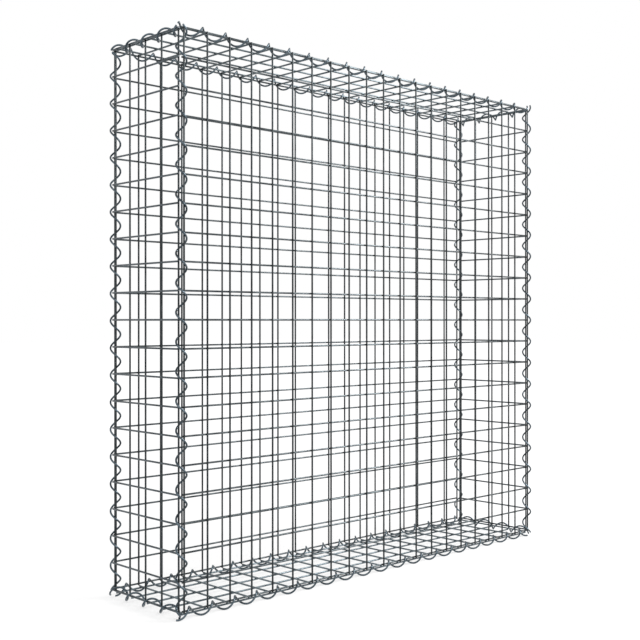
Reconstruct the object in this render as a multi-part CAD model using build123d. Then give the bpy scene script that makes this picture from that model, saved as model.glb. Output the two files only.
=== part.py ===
from build123d import *
from math import cos, radians, sin, sqrt
import os

# Gabion basket: six welded mesh panels, laced along all twelve edges by spiral wires.
# Millimetres. +X runs along the front face, +Y towards the back, +Z up.
# The origin is on the floor, in the middle of the footprint.

# Driving dimensions: the mesh
width = 1000.0  # between the outermost wires of the front, rounded to whole cells
depth = 200.0
height = 1000.0
mesh_pitch = 50.0  # between neighbouring wires, both ways
mesh_wire = 3.5  # diameter
weld_press = 0.4  # how far two crossing wires sink into each other at their weld
wire_overhang = 2.5  # from an edge wire's centre line to the cut ends of the wires across it
end_clearance = 1.1  # between those ends and the wires of the next wall
lid_rise = 1.9  # of the lid's mid-plane above the walls' top wires
base_drop = 4.7  # of the base's mid-plane below the walls' bottom wires
mesh_wire_sides = 6

# Driving dimensions: the spirals, left-handed, with one turn to each mesh cell
spiral_wire = 3.5  # diameter
lacing_clearance = 0.6  # in the bore of the spiral with the widest edge, beside its edge wires
hang_share = 0.65  # of its play that a spiral on a level edge hangs down by
spiral_wire_sides = 4
chords_per_turn = 8

# Which way the wires of a panel's outer layer run; those of its inner layer run across them
outer_wires = {"front": "Z", "back": "X", "left": "Y", "right": "Y", "lid": "X", "base": "X"}

# The two panels that a spiral laces, the axis of their edge, and the angle at which it starts
# beside the first cross wire, in degrees from the next axis in the order X, Y, Z
laced_edges = [
    ("front", "left", "Z", 270),
    ("front", "right", "Z", 270),
    ("back", "left", "Z", 145),
    ("back", "right", "Z", 45),
    ("lid", "front", "X", 45),
    ("lid", "back", "X", 90),
    ("base", "front", "X", 195),
    ("base", "back", "X", 305),
    ("lid", "left", "Y", 270),
    ("lid", "right", "Y", 90),
    ("base", "left", "Y", 170),
    ("base", "right", "Y", 190),
]

# Worked out from the driving dimensions
layer = (mesh_wire - weld_press) / 2  # of a wire's centre line from its panel's mid-plane
wall_inset = wire_overhang + end_clearance + layer + mesh_wire / 2

cells = {"X": round(width / mesh_pitch), "Y": round(depth / mesh_pitch), "Z": round(height / mesh_pitch)}
axes = {"X": Vector(1, 0, 0), "Y": Vector(0, 1, 0), "Z": Vector(0, 0, 1)}
next_axis = {"X": "Y", "Y": "Z", "Z": "X"}
facing = {
    "front": ("Y", -1),
    "back": ("Y", 1),
    "left": ("X", -1),
    "right": ("X", 1),
    "base": ("Z", -1),
    "lid": ("Z", 1),
}
# From the edge wires of the panels around it out to each panel's mid-plane
insets = {
    "front": wall_inset,
    "back": wall_inset,
    "left": wall_inset,
    "right": wall_inset,
    "base": base_drop,
    "lid": lid_rise,
}


def outward(panel):
    """The panel's outward normal."""
    axis, sign = facing[panel]
    return axes[axis] * sign


def half_size(panel):
    """From the middle of the basket to the edge wires beside this panel."""
    return cells[facing[panel][0]] * mesh_pitch / 2


def layer_offset(panel, wire_axis):
    """How far out from the panel's mid-plane its wires along this axis lie."""
    return layer if outer_wires[panel] == wire_axis else -layer


def straight_wires(wire_axis, spacing_axis, offset):
    """One layer of a panel: parallel bars, each with an edge of its section towards the other layer."""
    half_length = cells[wire_axis] * mesh_pitch / 2 + wire_overhang
    across = Plane(origin=(0, 0, 0), x_dir=offset.normalized(), z_dir=axes[wire_axis])
    wire = extrude(across * RegularPolygon(mesh_wire / 2, mesh_wire_sides), half_length, both=True)
    first = -cells[spacing_axis] * mesh_pitch / 2
    return [
        Pos(offset + axes[spacing_axis] * (first + count * mesh_pitch)) * wire
        for count in range(cells[spacing_axis] + 1)
    ]


def mesh_panel(panel):
    """Two layers of wires, fused at every weld."""
    normal = outward(panel)
    one, other = [axis for axis in axes if axis != facing[panel][0]]
    wires = straight_wires(one, other, normal * layer_offset(panel, one))
    wires += straight_wires(other, one, normal * layer_offset(panel, other))
    return Pos(normal * (half_size(panel) + insets[panel])) * wires[0].fuse(*wires[1:])


def edge_wire(panel, neighbour, edge_axis):
    """The panel's last wire before its neighbour, at the middle of their edge."""
    out = half_size(panel) + insets[panel] + layer_offset(panel, edge_axis)
    return outward(panel) * out + outward(neighbour) * half_size(neighbour)


def half_spread(panel, neighbour, edge_axis):
    """From the middle between a spiral's two edge wires to the first panel's one."""
    return (edge_wire(panel, neighbour, edge_axis) - edge_wire(neighbour, panel, edge_axis)) / 2


widest_spread = max(half_spread(*edge[:3]).length for edge in laced_edges)
spiral_radius = widest_spread + (mesh_wire + spiral_wire) / 2 + lacing_clearance


def sag(panel, neighbour, edge_axis):
    """How far a spiral hangs below the middle between its edge wires; an upright one doesn't."""
    if edge_axis == "Z":
        return 0
    spread = half_spread(panel, neighbour, edge_axis)
    return hang_share * (sqrt(widest_spread**2 - spread.X**2 - spread.Y**2) - abs(spread.Z))


def spiral(panel, neighbour, edge_axis, start_angle):
    """A left-hand coil around the two edge wires, swept along the chords of its turns."""
    edge_middle = (edge_wire(panel, neighbour, edge_axis) + edge_wire(neighbour, panel, edge_axis)) / 2
    hung = edge_middle - axes["Z"] * sag(panel, neighbour, edge_axis)
    start = hung - axes[edge_axis] * (cells[edge_axis] * mesh_pitch / 2)
    coil = Plane(origin=start, x_dir=axes[next_axis[edge_axis]], z_dir=axes[edge_axis])
    points = []
    for chord in range(cells[edge_axis] * chords_per_turn + 1):
        turned = radians(start_angle - 360 * chord / chords_per_turn)
        along = chord * mesh_pitch / chords_per_turn
        around = (spiral_radius * cos(turned), spiral_radius * sin(turned))
        points.append(coil.from_local_coords((*around, along)))
    section = Plane(origin=points[0], z_dir=points[1] - points[0])
    section *= RegularPolygon(spiral_wire / 2, spiral_wire_sides)
    return sweep(section, path=Polyline(*points), transition=Transition.RIGHT)


nodes = {f"{panel}_panel": mesh_panel(panel) for panel in facing}
for panel, neighbour, edge_axis, start_angle in laced_edges:
    nodes[f"{panel}_{neighbour}_spiral"] = spiral(panel, neighbour, edge_axis, start_angle)

lowest = min(node.bounding_box().min.Z for node in nodes.values())
os.makedirs("parts", exist_ok=True)
for name, node in nodes.items():
    export_step(Pos(0, 0, -lowest) * node, f"parts/{name}.step")
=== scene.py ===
"""An empty gabion basket: six welded mesh panels, laced along all twelve edges by spiral wires."""

from math import atan2, pi, radians, sqrt

import bpy
from mathutils import Matrix, Vector


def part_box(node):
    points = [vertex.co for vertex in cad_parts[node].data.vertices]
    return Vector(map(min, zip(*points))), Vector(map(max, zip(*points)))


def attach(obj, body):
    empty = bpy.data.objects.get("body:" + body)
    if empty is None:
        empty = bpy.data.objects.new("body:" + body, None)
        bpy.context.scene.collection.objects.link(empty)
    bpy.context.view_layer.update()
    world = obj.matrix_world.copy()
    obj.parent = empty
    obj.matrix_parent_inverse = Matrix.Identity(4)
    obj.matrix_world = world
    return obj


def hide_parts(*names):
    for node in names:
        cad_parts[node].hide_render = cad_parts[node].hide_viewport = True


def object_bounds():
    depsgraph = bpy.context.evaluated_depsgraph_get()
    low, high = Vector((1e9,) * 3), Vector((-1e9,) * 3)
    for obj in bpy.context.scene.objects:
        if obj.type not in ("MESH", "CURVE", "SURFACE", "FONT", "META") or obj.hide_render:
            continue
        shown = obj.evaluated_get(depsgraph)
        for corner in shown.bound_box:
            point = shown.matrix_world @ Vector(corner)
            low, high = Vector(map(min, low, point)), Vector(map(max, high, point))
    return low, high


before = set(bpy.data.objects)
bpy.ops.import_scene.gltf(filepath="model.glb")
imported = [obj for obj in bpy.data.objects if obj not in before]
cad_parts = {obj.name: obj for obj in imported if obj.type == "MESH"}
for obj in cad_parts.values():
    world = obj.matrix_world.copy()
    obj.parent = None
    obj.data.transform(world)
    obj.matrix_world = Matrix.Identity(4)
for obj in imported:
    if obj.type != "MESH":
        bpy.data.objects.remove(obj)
cad_low, cad_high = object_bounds()

# Lengths are in metres. +X runs along the front face, +Y towards the back, +Z up.
MM = 0.001

# The mesh
MESH_PITCH = 50 * MM
MESH_WIRE = 3.5 * MM
WELD_PRESS = 0.4 * MM  # how far two crossing wires sink into each other
WIRE_OVERHANG = 2.5 * MM  # from an edge wire's centre line to the cut ends of the wires across it
CUT_BEVEL = 0.4 * MM  # round the cut ends
LAYER = (MESH_WIRE - WELD_PRESS) / 2  # of a wire's centre line from its panel's mid-plane

# The beads of metal that were pressed out at the welds
BEAD_RADIUS = 1.9 * MM
BEAD_FLATNESS = 0.55

# The spirals, left-handed coils of wire
SPIRAL_WIRE = 3.5 * MM
LACING_CLEARANCE = 0.6 * MM  # in the bore of the solid with the widest edge, beside its edge wires
HANG_SHARE = 0.65  # of its play that a spiral on a level edge hangs down by
DRAWN_IN = 0.2 * MM  # keeps a round coil inside the box of its solid, which has straight chords

# How finely the round wires are modelled
WIRE_SIDES = 12
SPIRAL_SIDES = 10
STEPS_PER_TURN = 24
SMOOTH_BELOW = radians(40)

# The zinc coat
DRAW_LINE_LENGTH = 12.5 * MM
DRAW_LINE_SLIMNESS = 30.0  # a draw line's length by its width, so it is 0.4 mm wide
BLOTCH_SHARE = 8.0  # a draw line's length by the size of the blotches on bent wire and on beads
PATCH_SIZE = 25 * MM
PATCH_WEIGHT = 0.6  # in the mottle, beside the draw lines
GRAIN_SIZE = 1 * MM
RELIEF = 0.05 * MM
ROUGHNESS_SPREAD = 0.08

# The darkest and the lightest shade of each wire. The wire is the same all over: the walls' upright
# wires get darker shades than their level ones, which is painted shade, the wires of the lid and the
# base get lighter shades, which is painted light, and the beads at the welds are dull.
WALL_SHADES_AND_PAINTED_SHADE = {"X": ("#393e41", "#62696c"), "Y": ("#393f43", "#626a6f"), "Z": ("#262a2c", "#44494b")}
LEVEL_SHADES_AND_PAINTED_LIGHT = {"lid": ("#41494d", "#6b757a"), "base": ("#50595e", "#7b868c")}
SPIRAL_SHADES = ("#343d43", "#5f6b73")
WELD_SHADES = ("#2f3436", "#4c5254")
MESH_ROUGHNESS = 0.3
SPIRAL_ROUGHNESS = 0.28
WELD_ROUGHNESS = 0.5

# The photograph's view
CAMERA_PLACE = (-1.54809, -1.55074, 0.51286)
CAMERA_TURN = (radians(90.049), radians(0.026), radians(-43.499))
CAMERA_LENS = 58.128  # in millimetres, as the sensor's width
SENSOR_WIDTH = 36.0

AXES = {"X": Vector((1, 0, 0)), "Y": Vector((0, 1, 0)), "Z": Vector((0, 0, 1))}
NEXT_AXIS = {"X": "Y", "Y": "Z", "Z": "X"}
FACING = {
    "front": ("Y", -1),
    "back": ("Y", 1),
    "left": ("X", -1),
    "right": ("X", 1),
    "base": ("Z", -1),
    "lid": ("Z", 1),
}

# Which way the wires of a panel's outer layer run
OUTER_WIRES = {"front": "Z", "back": "X", "left": "Y", "right": "Y", "lid": "X", "base": "X"}

# The two panels that a spiral laces, the axis of their edge, the angles at which the spiral passes
# the first and the last cross wire, and how many millimetres it runs on past each of them, or less
# than zero where it stops short. Angles are in degrees from the next axis in the order X, Y, Z,
# less whole turns. Most spirals have a little less than one turn to each cell.
LACED_EDGES = [
    ("front", "left", "Z", 190, 278, 4, 4),
    ("front", "right", "Z", 258, 345, 4, 9.6),
    ("back", "left", "Z", 105, 165, 2, -5),
    ("back", "right", "Z", 15, 75, 3, 3),
    ("lid", "front", "X", 50, 130, 13, 4),
    ("lid", "back", "X", 318, 470, 3, 3),
    ("base", "front", "X", 190, 278, 12, 4),
    ("base", "back", "X", 238, 383, 3, 3),
    ("lid", "left", "Y", 270, 270, 4, 0),
    ("lid", "right", "Y", 90, 90, 0, 4),
    ("base", "left", "Y", 180, 285, 0, 13),
    ("base", "right", "Y", 110, 200, 4, 4),
]


# Selection and joining


def only(*pieces):
    """These pieces alone are selected, and the first is active."""
    bpy.ops.object.select_all(action="DESELECT")
    for piece in pieces:
        piece.select_set(True)
    bpy.context.view_layer.objects.active = pieces[0]


def apply_place(piece):
    """Leaves the piece's object at the origin, unturned and unscaled."""
    only(piece)
    bpy.ops.object.transform_apply(location=True, rotation=True, scale=True)


def apply_modifiers(piece):
    """Leaves the piece as a plain mesh."""
    only(piece)
    for modifier in list(piece.modifiers):
        bpy.ops.object.modifier_apply(modifier=modifier.name)


def join(pieces, name):
    """All pieces as one, with this name."""
    only(*pieces)
    bpy.ops.object.join()
    pieces[0].name = name
    pieces[0].data.name = name
    return pieces[0]


def repeat(piece, step, count):
    """Adds copies of the piece to it, a step apart, up to this count."""
    array = piece.modifiers.new("repeat", "ARRAY")
    array.use_relative_offset = False
    array.use_constant_offset = True
    array.constant_offset_displace = step
    array.count = count
    apply_modifiers(piece)


# Materials


def linear(hex_colour):
    """An sRGB hex colour as linear red, green, blue and alpha."""
    channels = [int(hex_colour[at : at + 2], 16) / 255 for at in (1, 3, 5)]
    return [c / 12.92 if c <= 0.04045 else ((c + 0.055) / 1.055) ** 2.4 for c in channels] + [1.0]


def add_node(tree, kind, settings, inputs):
    """A node with its settings. Each input is a value, or the socket that feeds it."""
    node = tree.nodes.new(kind)
    for name, value in settings.items():
        setattr(node, name, value)
    for name, value in inputs.items():
        if isinstance(value, bpy.types.NodeSocket):
            tree.links.new(value, node.inputs[name])
        else:
            node.inputs[name].default_value = value
    return node


def new_material(name):
    """A material with no nodes yet, and its node tree."""
    material = bpy.data.materials.new(name)
    material.use_nodes = True
    material.node_tree.nodes.clear()
    return material, material.node_tree


def galvanised_steel(name, along, shades, roughness):
    """Drawn steel wire under a zinc coat: grey, half dull, with faint draw lines along the wire.

    Bent wire and beads run along no axis, and get blotches in place of draw lines.
    """
    material, tree = new_material(name)
    place = add_node(tree, "ShaderNodeTexCoord", {}, {})
    stretch = [BLOTCH_SHARE] * 3
    if along:
        stretch = [1.0 if axis == along else DRAW_LINE_SLIMNESS for axis in AXES]
    drawn = add_node(
        tree, "ShaderNodeMapping", {}, {"Vector": place.outputs["Object"], "Scale": stretch}
    )
    lines = add_node(
        tree,
        "ShaderNodeTexNoise",
        {},
        {
            "Vector": drawn.outputs["Vector"],
            "Scale": 1 / DRAW_LINE_LENGTH,
            "Detail": 3.0,
            "Roughness": 0.6,
        },
    )
    # Patches where the coat is thicker or has dulled
    patches = add_node(
        tree,
        "ShaderNodeTexNoise",
        {},
        {
            "Vector": place.outputs["Object"],
            "Scale": 1 / PATCH_SIZE,
            "Detail": 2.0,
            "Roughness": 0.5,
        },
    )
    grain = add_node(
        tree,
        "ShaderNodeTexNoise",
        {},
        {
            "Vector": place.outputs["Object"],
            "Scale": 1 / GRAIN_SIZE,
            "Detail": 2.0,
            "Roughness": 0.5,
        },
    )
    patch_part = add_node(
        tree,
        "ShaderNodeMath",
        {"operation": "MULTIPLY"},
        {0: patches.outputs["Fac"], 1: PATCH_WEIGHT},
    )
    mottle = add_node(
        tree,
        "ShaderNodeMath",
        {"operation": "MULTIPLY_ADD"},
        {0: lines.outputs["Fac"], 1: 1 - PATCH_WEIGHT, 2: patch_part.outputs["Value"]},
    )
    colours = add_node(tree, "ShaderNodeValToRGB", {}, {"Fac": mottle.outputs["Value"]})
    for stop, position, shade in zip(colours.color_ramp.elements, (0.35, 0.65), shades):
        stop.position = position
        stop.color = linear(shade)
    gloss = add_node(
        tree,
        "ShaderNodeMapRange",
        {},
        {
            "Value": patches.outputs["Fac"],
            "From Min": 0.3,
            "From Max": 0.7,
            "To Min": roughness - ROUGHNESS_SPREAD,
            "To Max": roughness + ROUGHNESS_SPREAD,
        },
    )
    relief = add_node(
        tree,
        "ShaderNodeMath",
        {"operation": "ADD"},
        {0: lines.outputs["Fac"], 1: grain.outputs["Fac"]},
    )
    bump = add_node(
        tree,
        "ShaderNodeBump",
        {},
        {"Strength": 0.35, "Distance": RELIEF, "Height": relief.outputs["Value"]},
    )
    surface = add_node(
        tree,
        "ShaderNodeBsdfPrincipled",
        {},
        {
            "Base Color": colours.outputs["Color"],
            "Metallic": 1.0,
            "Roughness": gloss.outputs["Result"],
            "Normal": bump.outputs["Normal"],
        },
    )
    add_node(tree, "ShaderNodeOutputMaterial", {}, {"Surface": surface.outputs["BSDF"]})
    return material


# The walls' wires, with painted shade on the upright ones
WALL_FINISH_AND_PAINTED_SHADE = {
    axis: galvanised_steel(f"galvanised_wall_wire_{axis}", axis, shades, MESH_ROUGHNESS)
    for axis, shades in WALL_SHADES_AND_PAINTED_SHADE.items()
}
# The lid's and the base's wires, made lighter with painted light
LEVEL_FINISH_AND_PAINTED_LIGHT = {
    (panel, axis): galvanised_steel(f"galvanised_{panel}_wire_{axis}", axis, shades, MESH_ROUGHNESS)
    for panel, shades in LEVEL_SHADES_AND_PAINTED_LIGHT.items()
    for axis in ("X", "Y")
}
SPIRAL_FINISH = galvanised_steel("galvanised_spiral", None, SPIRAL_SHADES, SPIRAL_ROUGHNESS)
WELD_FINISH = galvanised_steel("weld_scale", None, WELD_SHADES, WELD_ROUGHNESS)


# Mesh panels


def outward(panel):
    """The panel's outward normal."""
    axis, sign = FACING[panel]
    return AXES[axis] * sign


def across_of(panel):
    """The two axes that a panel's wires run along."""
    return [axis for axis in AXES if axis != FACING[panel][0]]


def layer_offset(panel, wire_axis):
    """How far out from the panel's mid-plane its wires along this axis lie."""
    return LAYER if OUTER_WIRES[panel] == wire_axis else -LAYER


def wire_count(panel, spacing_axis):
    """How many wires the panel has, side by side along this axis."""
    low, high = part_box(f"{panel}_panel")
    span = (high - low).dot(AXES[spacing_axis]) - 2 * WIRE_OVERHANG
    return round(span / MESH_PITCH) + 1


def wire_layer(panel, wire_axis, spacing_axis):
    """A row of parallel wires with cropped ends."""
    low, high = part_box(f"{panel}_panel")
    middle = (low + high) / 2 + outward(panel) * layer_offset(panel, wire_axis)
    axis, spacing = AXES[wire_axis], AXES[spacing_axis]
    count = wire_count(panel, spacing_axis)
    first = middle - spacing * (MESH_PITCH * (count - 1) / 2)
    turn = AXES["Z"].rotation_difference(axis).to_euler()
    bpy.ops.object.select_all(action="DESELECT")
    bpy.ops.mesh.primitive_cylinder_add(
        vertices=WIRE_SIDES,
        radius=MESH_WIRE / 2,
        depth=(high - low).dot(axis),
        location=first,
        rotation=turn,
    )
    wire_painted_light = bpy.context.object
    # The two end faces
    for face in wire_painted_light.data.polygons:
        face.select = abs(face.normal.z) > 0.9
    bpy.ops.object.mode_set(mode="EDIT")
    bpy.ops.mesh.bevel(offset=CUT_BEVEL, segments=2, affect="EDGES")
    bpy.ops.object.mode_set(mode="OBJECT")
    bpy.ops.object.shade_smooth_by_angle(angle=SMOOTH_BELOW)
    apply_place(wire_painted_light)
    repeat(wire_painted_light, spacing * MESH_PITCH, count)
    # Lid and base wires take lighter copies of the wire (painted light), the walls' uprights a darker
    # copy (painted shade)
    wire_painted_light.data.materials.append(LEVEL_FINISH_AND_PAINTED_LIGHT.get((panel, wire_axis), WALL_FINISH_AND_PAINTED_SHADE[wire_axis]))
    return wire_painted_light


def welds(panel):
    """A flattened bead between the two layers at each crossing."""
    low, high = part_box(f"{panel}_panel")
    counts = {axis: wire_count(panel, axis) for axis in across_of(panel)}
    start = (low + high) / 2
    for axis, count in counts.items():
        start -= AXES[axis] * (MESH_PITCH * (count - 1) / 2)
    turn = AXES["Z"].rotation_difference(outward(panel)).to_euler()
    bpy.ops.object.select_all(action="DESELECT")
    bpy.ops.mesh.primitive_uv_sphere_add(
        segments=8,
        ring_count=5,
        radius=BEAD_RADIUS,
        location=start,
        rotation=turn,
        scale=(1, 1, BEAD_FLATNESS),
    )
    bead = bpy.context.object
    bpy.ops.object.shade_smooth()
    apply_place(bead)
    for axis, count in counts.items():
        repeat(bead, AXES[axis] * MESH_PITCH, count)
    bead.data.materials.append(WELD_FINISH)
    return bead


def mesh_panel(panel):
    """Two layers of wires and the welds between them."""
    one, other = across_of(panel)
    layers = [wire_layer(panel, one, other), wire_layer(panel, other, one), welds(panel)]
    piece = join(layers, f"{panel}_welded_mesh")
    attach(piece, "root")
    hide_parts(f"{panel}_panel")


# Spirals


def edge_wire(panel, neighbour, edge_axis):
    """The middle of the panel's last wire before its neighbour."""
    low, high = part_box(f"{panel}_panel")
    middle = (low + high) / 2 + outward(panel) * layer_offset(panel, edge_axis)
    side = outward(neighbour)
    reach = (high - low).dot(Vector(map(abs, side))) / 2 - WIRE_OVERHANG
    return middle + side * reach


def half_spread(panel, neighbour, edge_axis):
    """From the middle between a spiral's two edge wires to the first panel's one."""
    return (edge_wire(panel, neighbour, edge_axis) - edge_wire(neighbour, panel, edge_axis)) / 2


WIDEST_SPREAD = max(half_spread(*edge[:3]).length for edge in LACED_EDGES)
COIL_RADIUS = WIDEST_SPREAD + (MESH_WIRE + SPIRAL_WIRE) / 2 + LACING_CLEARANCE - DRAWN_IN


def sag(panel, neighbour, edge_axis):
    """How far a spiral hangs below the middle between its edge wires; an upright one doesn't."""
    if edge_axis == "Z":
        return 0
    spread = half_spread(panel, neighbour, edge_axis)
    return HANG_SHARE * (sqrt(WIDEST_SPREAD**2 - spread.x**2 - spread.y**2) - abs(spread.z))


def left_hand_coil(pitch, length, lowest):
    """A round section on a screw, up the Z axis from this height, with its ends cut square."""
    lean = atan2(pitch, 2 * pi * COIL_RADIUS)
    bpy.ops.object.select_all(action="DESELECT")
    bpy.ops.mesh.primitive_circle_add(
        vertices=SPIRAL_SIDES,
        radius=SPIRAL_WIRE / 2,
        location=(COIL_RADIUS, 0, lowest),
        rotation=(pi / 2 - lean, 0, 0),
    )
    coil = bpy.context.object
    apply_place(coil)
    screw = coil.modifiers.new("screw", "SCREW")
    screw.axis = "Z"
    screw.angle = -2 * pi * length / pitch
    screw.screw_offset = length
    screw.iterations = 1
    screw.steps = round(STEPS_PER_TURN * length / pitch)
    screw.render_steps = screw.steps
    screw.use_smooth_shade = True
    apply_modifiers(coil)
    bpy.ops.object.mode_set(mode="EDIT")
    bpy.ops.mesh.select_all(action="SELECT")
    bpy.ops.mesh.fill_holes(sides=SPIRAL_SIDES)
    bpy.ops.mesh.select_all(action="SELECT")
    bpy.ops.mesh.normals_make_consistent(inside=False)
    bpy.ops.object.mode_set(mode="OBJECT")
    bpy.ops.object.shade_smooth_by_angle(angle=SMOOTH_BELOW)
    return coil


def spiral(panel, neighbour, edge_axis, first_angle, last_angle, before, after):
    """A coil around the two edge wires that it laces."""
    cells = wire_count(panel, edge_axis) - 1
    edge_length = cells * MESH_PITCH
    pitch = edge_length / (cells - (last_angle - first_angle) / 360)
    length = edge_length + (before + after) * MM
    coil = left_hand_coil(pitch, length, -edge_length / 2 - before * MM)
    axis = AXES[edge_axis]
    next_axis = AXES[NEXT_AXIS[edge_axis]]
    turned = Matrix((next_axis, axis.cross(next_axis), axis)).transposed()
    start_angle = radians(first_angle) + 2 * pi * before * MM / pitch
    coil.rotation_euler = (turned @ Matrix.Rotation(start_angle, 3, "Z")).to_euler()
    edge_middle = (edge_wire(panel, neighbour, edge_axis) + edge_wire(neighbour, panel, edge_axis)) / 2
    coil.location = edge_middle - AXES["Z"] * sag(panel, neighbour, edge_axis)
    apply_place(coil)
    coil.data.materials.append(SPIRAL_FINISH)
    coil.name = f"{panel}_{neighbour}_lacing"
    coil.data.name = coil.name
    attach(coil, "root")
    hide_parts(f"{panel}_{neighbour}_spiral")


for panel_name in FACING:
    mesh_panel(panel_name)
for laced_edge in LACED_EDGES:
    spiral(*laced_edge)


# Floor, surroundings, lamps and camera


def white_floor():
    """Bare white far out, with enough paint near the object to show its shadow."""
    material, tree = new_material("white_floor")
    ray = add_node(tree, "ShaderNodeLightPath", {}, {})
    seen = add_node(
        tree,
        "ShaderNodeMath",
        {"operation": "MAXIMUM"},
        {0: ray.outputs["Is Camera Ray"], 1: ray.outputs["Is Glossy Ray"]},
    )
    place = add_node(tree, "ShaderNodeTexCoord", {}, {})
    distance = add_node(
        tree, "ShaderNodeVectorMath", {"operation": "LENGTH"}, {0: place.outputs["Object"]}
    )
    glow_share = add_node(
        tree,
        "ShaderNodeMapRange",
        {},
        {
            "Value": distance.outputs["Value"],
            "From Min": 0.8,
            "From Max": 3.0,
            "To Min": 0.6,
            "To Max": 1.0,
        },
    )
    share = add_node(
        tree,
        "ShaderNodeMath",
        {"operation": "MULTIPLY"},
        {0: seen.outputs["Value"], 1: glow_share.outputs["Result"]},
    )
    paint = add_node(tree, "ShaderNodeBsdfDiffuse", {}, {"Color": linear("#f4f4f4")})
    glow = add_node(
        tree, "ShaderNodeEmission", {}, {"Color": linear("#ffffff"), "Strength": 1.1}
    )
    mixed = add_node(
        tree,
        "ShaderNodeMixShader",
        {},
        {0: share.outputs["Value"], 1: paint.outputs["BSDF"], 2: glow.outputs["Emission"]},
    )
    add_node(tree, "ShaderNodeOutputMaterial", {}, {"Surface": mixed.outputs["Shader"]})
    return material


def add_floor():
    """A plane under the object, wide enough to reach past every view."""
    bpy.ops.object.select_all(action="DESELECT")
    bpy.ops.mesh.primitive_plane_add(size=40, location=(0, 0, cad_low.z))
    floor = bpy.context.object
    floor.name = "floor"
    floor.data.materials.append(white_floor())


def add_surroundings():
    """White wherever it is seen, mirrored or looked at through glass, and a soft light otherwise."""
    world = bpy.data.worlds.new("studio")
    bpy.context.scene.world = world
    world.use_nodes = True
    tree = world.node_tree
    tree.nodes.clear()
    ray = add_node(tree, "ShaderNodeLightPath", {}, {})
    camera_or_glossy = add_node(
        tree,
        "ShaderNodeMath",
        {"operation": "MAXIMUM"},
        {0: ray.outputs["Is Camera Ray"], 1: ray.outputs["Is Glossy Ray"]},
    )
    seen = add_node(
        tree,
        "ShaderNodeMath",
        {"operation": "MAXIMUM"},
        {0: camera_or_glossy.outputs["Value"], 1: ray.outputs["Is Transmission Ray"]},
    )
    strength = add_node(
        tree,
        "ShaderNodeMapRange",
        {},
        {"Value": seen.outputs["Value"], "To Min": 0.7, "To Max": 1.0},
    )
    sky = add_node(
        tree,
        "ShaderNodeBackground",
        {},
        {"Color": linear("#ffffff"), "Strength": strength.outputs["Result"]},
    )
    add_node(tree, "ShaderNodeOutputWorld", {}, {"Surface": sky.outputs["Background"]})


def soft_light(name, place, size, power):
    """A square lamp that points at the middle of the object."""
    bpy.ops.object.light_add(type="AREA", location=place)
    lamp = bpy.context.object
    lamp.name = name
    lamp.data.shape = "SQUARE"
    lamp.data.size = size
    lamp.data.energy = power
    aim = Vector((0, 0, (cad_low.z + cad_high.z) / 2))
    lamp.rotation_euler = (aim - Vector(place)).to_track_quat("-Z", "Y").to_euler()


def add_camera():
    """The camera, at the photograph's viewing angle."""
    bpy.ops.object.camera_add(location=CAMERA_PLACE, rotation=CAMERA_TURN)
    camera = bpy.context.object
    camera.name = "camera"
    camera.data.sensor_width = SENSOR_WIDTH
    camera.data.lens = CAMERA_LENS
    camera.data.clip_end = 100.0
    bpy.context.scene.camera = camera


add_floor()
add_surroundings()
soft_light("key", place=(2.2, -1.7, 2.3), size=1.5, power=110)
soft_light("fill", place=(-2.4, -1.2, 2.4), size=2.0, power=22)
add_camera()
bpy.context.scene.view_settings.view_transform = "Standard"
